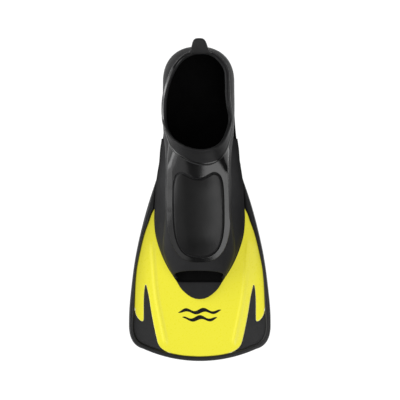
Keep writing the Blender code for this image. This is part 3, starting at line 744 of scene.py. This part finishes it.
def make_collar(looks, paths, angles, reach):
    """The smooth band round the opening: highest at the toe side, and flared outwards on the -X side."""
    front = np.clip(-np.sin(np.radians(angles)), 0, 1) ** 1.5
    narrow = np.clip((15 - reach) / 8, 0, 1)
    flared = ease((angles - FLARE_START) / 25) * ease((FLARE_END - angles) / 22)
    normals = path_normals(paths)
    rings = []
    for t, h in COLLAR_PROFILE:
        share = t / COLLAR_SPAN
        place = profile_place(t, reach)
        ups = at_places(normals, place)
        ups /= np.linalg.norm(ups, axis=1)[:, None]
        rise = COLLAR_RISE * front * (1 - share)
        if h > 0:
            dome = 4 * share * (1 - share)
            rise = rise + RIM_DOME * narrow * (1 - flared) * dome + flared * rim_flare(place)
        rings.append(at_places(paths, place) + ups * (h + rise)[:, None] * MM)
    collar = ring_piece("collar", np.array(rings), looks["collar"], 55)
    # The outer edge is glossy, and the flare's crest is polished.
    collar.data.materials.append(looks["gloss"])
    collar.data.materials.append(looks["crest"])
    for face in collar.data.polygons:
        ring, spoke = divmod(face.index, len(paths))
        t, h = COLLAR_PROFILE[ring]
        if flared[spoke] > 0.4 and h > 0.8:
            face.material_index = 2
        elif t > COLLAR_OUTER and h > 0:
            face.material_index = 1
    rides(collar, "foot_pocket", "black_rubber", "ankle_collar")


def make_pocket(looks):
    """The pocket's shell, open at the toe and the ankle, and the collar round the ankle opening."""
    shell = closed_shell(pocket_skin(), looks["upper"])
    paths = collar_paths()
    angles = np.linspace(0, 360, len(paths), endpoint=False)
    reach = collar_reach(angles)
    cut_ankle(shell, paths, reach)
    # Painted shade on the inner faces: they take the near-black look.
    paint_inner_shade(shell, looks["painted_shade"])
    rides(shell, "foot_pocket", "black_rubber", "instep_upper", "heel_cup")
    make_collar(looks, paths, angles, reach)


def by_angle(outline, centre, angles):
    """The closed outline's points at these angles round the centre."""
    away = outline - centre
    turn = np.unwrap(np.arctan2(away[:, 1], away[:, 0]))
    if turn[-1] < turn[0]:
        turn, away = turn[::-1], away[::-1]
    reach = np.hypot(away[:, 0], away[:, 1])
    reach = np.interp((angles - turn[0]) % (2 * math.pi) + turn[0], np.r_[turn, turn[0] + 2 * math.pi],
                      np.r_[reach, reach[0]])
    return centre + np.stack([np.cos(angles), np.sin(angles)], axis=1) * reach[:, None]


def lift(y):
    """How far the instep's surround stands off the form: less where it runs under the collar."""
    under_collar = 1.0 * MM
    return under_collar + (PLATEAU - under_collar) * ease_along(y, 40, 14)


def surround_top(x, y):
    """The surround above the middle of the panel: an arch with a flat bevel outside it on each side."""
    off = x - INSTEP_X
    within = np.clip(off, -BEVEL_START, BEVEL_START)
    arch = form_top(0 * x, y) - within ** 2 / (2 * ARCH_RADIUS)
    share = ease_along(y, -10, 24)
    raised = form_top(within, y) * (1 - share) + arch * share - BEVEL_SLOPE * np.abs(off - within)
    under_collar = ease_along(y, 30, 66)
    return raised * (1 - under_collar) + form_top(x, y) * under_collar + lift(y)


def panel_outline(step):
    return evenly(both_sides(smooth(PANEL)), step) + (INSTEP_X, 0)


def make_surround(looks):
    """The instep's bevelled surround, from its foot on the form up to the brink of the panel's groove."""
    centre = np.array([INSTEP_X, PANEL_MIDDLE])
    angles = np.linspace(0, 2 * math.pi, 420, endpoint=False)
    foot = by_angle(both_sides(smooth(BEVEL_FOOT)) + (INSTEP_X, 0), centre, angles)
    brow = FOOT_SHARE * form_at(foot[:, 1])[0]
    foot[:, 0] = np.clip(foot[:, 0], -brow, brow)
    panel_edge = panel_outline(0.5 * MM)
    brink = by_angle(panel_edge - inward_normals(panel_edge) * GROOVE, centre, angles)
    high = form_top(brink[:, 0] - INSTEP_X, brink[:, 1]) + lift(brink[:, 1])
    low = high - BEVEL_SLOPE * np.linalg.norm(brink - foot, axis=1)
    # Each row: share of the way from foot to brink, what its height counts from, and its rise in mm.
    rows = [(0.0, "shell", -1.5), (0.0, "bevel", -0.7), (0.012, "bevel", -0.25), (0.04, "bevel", -0.04)]
    rows += [(share, "bevel", 0.0) for share in np.linspace(0.07, 0.93, 22)]
    rows += [(0.965, "bevel", -0.06), (0.99, "bevel", -0.3), (1.0, "bevel", -0.8), (1.0, "shell", -1.0)]
    grid = []
    for share, base, rise in rows:
        flat = foot * (1 - share) + brink * share
        shell = form_top(*flat.T)
        around_toe = np.maximum(low * (1 - share) + high * share, shell + 0.3 * MM)
        bevel = np.where(flat[:, 1] > PANEL_MIDDLE, surround_top(*flat.T), around_toe)
        z = (shell if base == "shell" else bevel) + rise * MM
        grid.append(np.column_stack([flat, z]))
    surround = ring_piece("instep_bevel", np.array(grid), looks["gloss"], 35)
    rides(surround, "foot_pocket", "black_rubber")


def make_panel(looks):
    """The soft panel inside the surround's groove, crowned along its middle."""
    outline = panel_outline(0.8 * MM)
    outline = outline + inward_normals(outline) * 0.1 * MM

    def top(x, y):
        off = x - INSTEP_X
        ends = ease_along(y, 31, 1) * ease_along(y, -70, -40)
        return form_top(off, y) + lift(y) + PANEL_CROWN * ends * (1 - (off / PANEL_HALF) ** 2)

    panel = slab("instep_soft_panel", outline, top, lambda x, y: form_top(x, y) - 0.6 * MM, looks["panel"],
                 step=1.8 * MM, edge=0.8 * MM)
    rides(panel, "foot_pocket", "soft_panel", "instep_panel")


def flange_section(y):
    """Outline of the flange at y as (x, z): a hollow slope from the pocket's wall to a rounded brim."""
    width, top, middle = (float(v) for v in form_at(y))
    high = float(web_height(y))
    share = max(high - middle, 0) / (top - middle)
    wall = width * rounded(share, float(form_exponent(y))) - 0.6 * MM
    ear = EAR * float(ease_along(y, 42, 64))
    edge = max(float(flange_width(y)), wall + 0.9 * MM) + ear
    hollow = 0.7 + 0.9 * float(ease_along(y, -50, -10))
    brim = min(SOLE_TOP + 1.9 * MM, high)
    r = 0.9 * MM
    line = [(wall, SOLE_TOP)]
    for q in np.linspace(0, 1, 12):
        line.append((wall + (edge - r - wall) * q, brim + (high - brim) * (1 - q) ** hollow))
    for t in (0.35, 0.8, 1.25):
        line.append((edge - r + r * math.sin(t), brim - r + r * math.cos(t)))
    return line + [(edge, SOLE_TOP + 0.5 * MM), (edge - 0.25 * MM, SOLE_TOP)]


def make_flanges(looks):
    """The flared flange on each side, from the pocket's wall down to the edge of the sole."""
    for sign, side in ((1, "right"), (-1, "left")):
        rings = [[(sign * x, y, z) for x, z in flange_section(y)]
                 for y in np.linspace(EAR_Y, FLANGE_END, 150)]
        flange = loft_piece("flange_" + side, rings, looks["upper"], 50)
        rides(flange, "foot_pocket", "black_rubber", "side_web_" + side)


def heel_line():
    """The +X half of the sole's round end, from the back of the heel forwards."""
    return [(SOLE_HEEL_WIDTH * rounded(share, HEEL_EXPONENT), HEEL_CENTRE + SOLE_HEEL_REACH * share)
            for share in np.sin(np.linspace(math.pi / 2, 0.05, 16))]


def make_sole(looks):
    """The pocket's floor: a stiff heel part, and a forefoot part that ends in the toe apron."""
    heel = heel_line() + along_curve(flange_width, HEEL_CENTRE, SOLE_SPLIT + 0.2 * MM, 20)
    # The heel part of the floor is all in the near-black painted-shade look.
    heel_part = slab("sole_heel", both_sides(heel), lambda x, y: SOLE_TOP, lambda x, y: SOLE_LOW,
                     looks["painted_shade"], step=4 * MM, edge=0.8 * MM)
    rides(heel_part, "foot_pocket", "black_rubber", "sole")

    def floor(x, y):
        return SOLE_TOP + APRON_RISE * ease_along(y, -97.4, -99)

    apron = np.vstack([along_curve(flange_width, SOLE_SPLIT, -113 * MM, 60), np.array(APRON_END) * MM])
    front = slab("sole_forefoot", both_sides(apron), floor, lambda x, y: SOLE_TOP - APRON_THICK,
                 looks["upper"], step=1.8 * MM, edge=1.0 * MM)
    # The floor's top inside the pocket is painted shade, near-black.
    front.data.materials.append(looks["painted_shade"])
    for face in front.data.polygons:
        if face.normal.z > 0.5 and -98.6 * MM < face.center.y < 38 * MM:
            face.material_index = 1
    bends(front, "black_rubber", "sole", "toe_apron")


def make_treads(looks):
    """Ribbed pads under the heel and the ball of the foot, with grooves across them."""
    heel_pad = evenly(both_sides(heel_line() + along_curve(flange_width, 139 * MM, 85 * MM, 6)), 1 * MM)
    heel_pad = heel_pad + inward_normals(heel_pad) * 4 * MM
    ball_pad = both_sides(along_curve(flange_width, 20 * MM, -88 * MM, 40, -5 * MM))

    def grooves(x, y):
        phase = (y + 90 * MM) % TREAD_PITCH
        return TREAD_DEPTH * ease_along(phase, 0, 0.8) * ease_along(phase, 3.5, 2.7)

    for name, outline in (("heel_tread", heel_pad), ("forefoot_tread", ball_pad)):
        pad = slab(name + "_pad", outline, lambda x, y: SOLE_LOW, grooves, looks["tread"],
                   step=1.3 * MM, edge=0.7 * MM)
        rides(pad, "foot_pocket", "tread_rubber", name)


# ---------------- blade
def past_rib(x, y):
    """How far points are outside the plate's rib, and how much of the rib there is at their y."""
    run = ease_along(y, -44, -60) * ease_along(y, -176, -166)
    return np.abs(x) - rib_place(y), run


def plate_top(x, y):
    """The yellow plate's upper surface: flat middle, a rib on each side and a falling flank outside it."""
    out, run = past_rib(x, y)
    rib = RIB_HIGH * bump_of(out, RIB_HALF) * run
    flank = -FLANK_DROP * ease_along(out, 1.5, 15.5) * run
    return PLATE_HIGH + rib + flank


def plate_bottom(x, y):
    """The plate's underside, with the ribs on it too."""
    out, run = past_rib(x, y)
    return PLATE_LOW - RIB_HIGH * bump_of(out, RIB_HALF) * run


def make_plate(looks):
    """The yellow plate, from under the arch to its two fingers beside the corner inserts."""
    root = np.array(PLATE_ROOT) * MM
    side = along_curve(bead_inside, -11 * MM, -127 * MM, 60, PLATE_TUCK)
    notch, end = smooth(NOTCH), smooth([NOTCH[-1], *YELLOW_END])[1:]
    outline = both_sides(np.vstack([root, side, notch, end]))
    plate = slab("blade_plate", outline, plate_top, plate_bottom, looks["plate"], step=1.9 * MM,
                 edge=0.7 * MM, rim_step=0.8 * MM)
    bends(plate, "yellow_plastic", "blade_root", "blade_panel")


def rim_spans():
    """The bead's inner point, outer point and height, from the +X rear round the tip to the -X rear."""
    spans = []
    for y in np.linspace(RAIL_REAR, CORNER_Y, 150):
        outer = float(silhouette(y))
        tuck = 1.0 * MM * float(ease_along(y, -40, -20))
        inner = min(float(bead_inside(y)) - tuck, outer - 1.2 * MM)
        spans.append((np.array([inner, y]), np.array([outer, y]), float(rail_height(y))))
    inside = tip_line(BEAD, float(bead_inside(CORNER_Y)))
    outside = tip_line(0, float(silhouette(CORNER_Y)))
    height = float(rail_height(CORNER_Y))
    spans += [(inner, outer, height) for inner, outer in list(zip(inside, outside))[1:]]
    mirror = np.array([-1, 1])
    return spans + [(inner * mirror, outer * mirror, height) for inner, outer, height in reversed(spans[:-1])]


def make_rim(looks):
    """The rubber bead from the side of the pocket, round the corners and the tip, and back."""
    section = rounded_square(28, 3.0, 3.0)
    rings = []
    for inner, outer, height in rim_spans():
        middle, half = (inner + outer) / 2, (outer - inner) / 2
        low = RAIL_RUNOUT * float(ease_along(middle[1], 2, 26))
        rings.append([(*(middle + half * u), low + (height - low) * (0.5 + 0.5 * v)) for u, v in section])
    rim = loft_piece("blade_rim", rings, looks["rim"], 60)
    bends(rim, "black_rubber", "root_rail_left", "root_rail_right", "side_rail_left", "side_rail_right",
          "trailing_edge")


def insert_outline():
    """The +X corner insert: the notch in the plate on one side, the bead on the other."""
    notch = smooth(NOTCH)
    along = np.gradient(notch, axis=0)
    along /= np.linalg.norm(along, axis=1)[:, None]
    shore = notch - np.stack([along[:, 1], -along[:, 0]], axis=1) * 0.12 * MM
    under_bead = (shore[:, 0] > 77.3 * MM) & (shore[:, 1] > -132 * MM)
    shore = shore[(shore[:, 1] > -182.5 * MM) & ~under_bead]
    corner = tip_line(BEAD - INSERT_TUCK, float(bead_inside(CORNER_Y)) + INSERT_TUCK)[1:]
    bank = along_curve(bead_inside, -132 * MM, CORNER_Y, 8, INSERT_TUCK)
    return np.vstack([bank, corner[corner[:, 0] > 35 * MM], shore[::-1]])


def make_inserts(looks):
    """The dark corner inserts, each with a long spike between the yellow plate's fingers."""
    outline = insert_outline()
    for sign, side in ((1, "right"), (-1, "left")):
        insert = slab("corner_insert_" + side, outline * (sign, 1), lambda x, y: PLATE_HIGH - INSERT_SUNK,
                      lambda x, y: PLATE_LOW + 0.5 * MM, looks["insert"], step=1.8 * MM, edge=0.45 * MM,
                      rim_step=0.7 * MM)
        bends(insert, "black_rubber", "corner_web_" + side)


def wave_ribbon(y0, half_length, start):
    """A wavy ribbon across the blade at y0, tapering to its ends; sizes in mm, start in radians."""
    x = np.linspace(-half_length, half_length, 90)
    middle = y0 + 1.7 * np.sin(x / 3.4 + start)
    half = 2.2 * (1 - (np.abs(x) / half_length) ** 3.0) ** 0.7 * (1 + 0.25 * np.sin(x / 3.4 + start + 1.2))
    upper = np.stack([x, middle + half], axis=1)
    lower = np.stack([x, middle - half], axis=1)[::-1][1:-1]
    return np.vstack([upper, lower]) * MM


def make_print(looks):
    """A plain printed pair of waves in the middle of the blade."""
    for name, ribbon in (("wave_print_upper", wave_ribbon(-133.4, 26, 0.0)),
                         ("wave_print_lower", wave_ribbon(-142.2, 21, 1.2))):
        mark = slab(name, ribbon, lambda x, y: plate_top(x, y) + 0.10 * MM,
                    lambda x, y: plate_top(x, y) - 0.2 * MM, looks["ink"], step=1.2 * MM, edge=0.06 * MM,
                    rim_step=0.45 * MM)
        bends(mark, "black_rubber")


# ---------------- pull tab
def make_tab(looks):
    """The pull tab: a flat tongue with round edges that grows out of the back of the collar."""
    up = np.array([0, math.cos(TAB_LEAN), math.sin(TAB_LEAN)])
    face = np.array([0, -math.sin(TAB_LEAN), math.cos(TAB_LEAN)])
    root = np.array([TAB_X, TAB_Y, TAB_Z])
    section = rounded_square(40, 5.0, 3.0)
    side = np.array([1, 0, 0])
    rings = [[root + (up * along + face * (thick * v + rise) + side * half * u) * MM for u, v in section]
             for along, half, thick, rise in TAB_SECTIONS]
    tab = loft_piece("pull_tab", rings, looks["grip"], 50)
    level = tab.modifiers.new("smooth", "SUBSURF")
    level.levels = level.render_levels = 2
    apply_modifiers(tab)
    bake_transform(tab)
    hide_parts("heel_pull_tab")


# ---------------- stage
CAMERA_DISTANCE, FRAME_WIDTH, SENSOR_WIDTH = 9.0, 0.48, 36
CAMERA_TILT = math.radians(3.0)
BOX_DISTANCE = 2.2
FLOOR_SIZE, FLOOR_GAP = 14, 0.4 * MM
# Each softbox: its slants towards +X and +Y, its widths in X and Y, all in degrees, and its radiance.
SOFTBOXES = {"right_box": (29, -31, 44, 34, 3.1),
             "left_fill": (-33, -22, 26, 56, 0.85),
             "blade_box": (20, 6, 22, 24, 1.5),
             "left_box": (-66, -10, 40, 52, 2.1),
             "rim_box": (-72, 19, 18, 44, 3.0),
             "front_strip": (0, -77, 60, 9, 0.8),
             "heel_box": (-48, 48, 34, 34, 2.2)}


def softbox(name, across, along, wide, long, radiance):
    """A softbox facing the fin, by its slants from overhead and its widths in degrees."""
    lamp = bpy.data.lights.new(name, "AREA")
    width, length = (2 * BOX_DISTANCE * math.tan(math.radians(span / 2)) for span in (wide, long))
    lamp.shape, lamp.size, lamp.size_y = "RECTANGLE", width, length
    lamp.energy = radiance * math.pi * width * length
    light = bpy.data.objects.new(name, lamp)
    bpy.context.scene.collection.objects.link(light)
    z_axis = Vector((math.tan(math.radians(across)), math.tan(math.radians(along)), 1)).normalized()
    x_axis = Vector((0, 1, 0)).cross(z_axis).normalized()
    turn = Matrix((x_axis, z_axis.cross(x_axis), z_axis)).transposed()
    light.matrix_world = Matrix.Translation(z_axis * BOX_DISTANCE) @ turn.to_4x4()


def make_floor():
    """A white floor just under the fin, bright enough to read as a plain white background."""
    look = Look("studio_floor", (0.12, 0.12, 0.12), 0.9, Emission_Color=(1, 1, 1, 1), Emission_Strength=1.0)
    bpy.ops.mesh.primitive_plane_add(size=FLOOR_SIZE, location=(0, 0, -FLOOR_GAP))
    floor = bpy.context.object
    floor.name = "floor"
    floor.data.materials.append(look.material)


def make_world():
    """A faint white surround, which fills the shadows."""
    world = bpy.context.scene.world or bpy.data.worlds.new("studio")
    bpy.context.scene.world = world
    world.use_nodes = True
    background = world.node_tree.nodes["Background"]
    background.inputs["Color"].default_value = (1, 1, 1, 1)
    background.inputs["Strength"].default_value = 0.08


def make_camera():
    """A long lens nearly straight above the fin, FRAME_WIDTH metres across at the fin."""
    lens = bpy.data.cameras.new("camera")
    camera = bpy.data.objects.new("camera", lens)
    bpy.context.scene.collection.objects.link(camera)
    camera.location = Vector((math.sin(CAMERA_TILT), 0, math.cos(CAMERA_TILT))) * CAMERA_DISTANCE
    camera.rotation_euler = (0, CAMERA_TILT, 0)
    lens.sensor_width = SENSOR_WIDTH
    lens.lens = SENSOR_WIDTH * CAMERA_DISTANCE / FRAME_WIDTH
    lens.clip_end = 50
    bpy.context.scene.camera = camera
    bpy.context.scene.view_settings.view_transform = "Standard"


looks = make_looks()
for make in (make_pocket, make_surround, make_panel, make_flanges, make_sole, make_treads, make_plate,
             make_rim, make_inserts, make_print, make_tab):
    make(looks)
make_floor()
make_world()
for name, numbers in SOFTBOXES.items():
    softbox(name, *numbers)
make_camera()
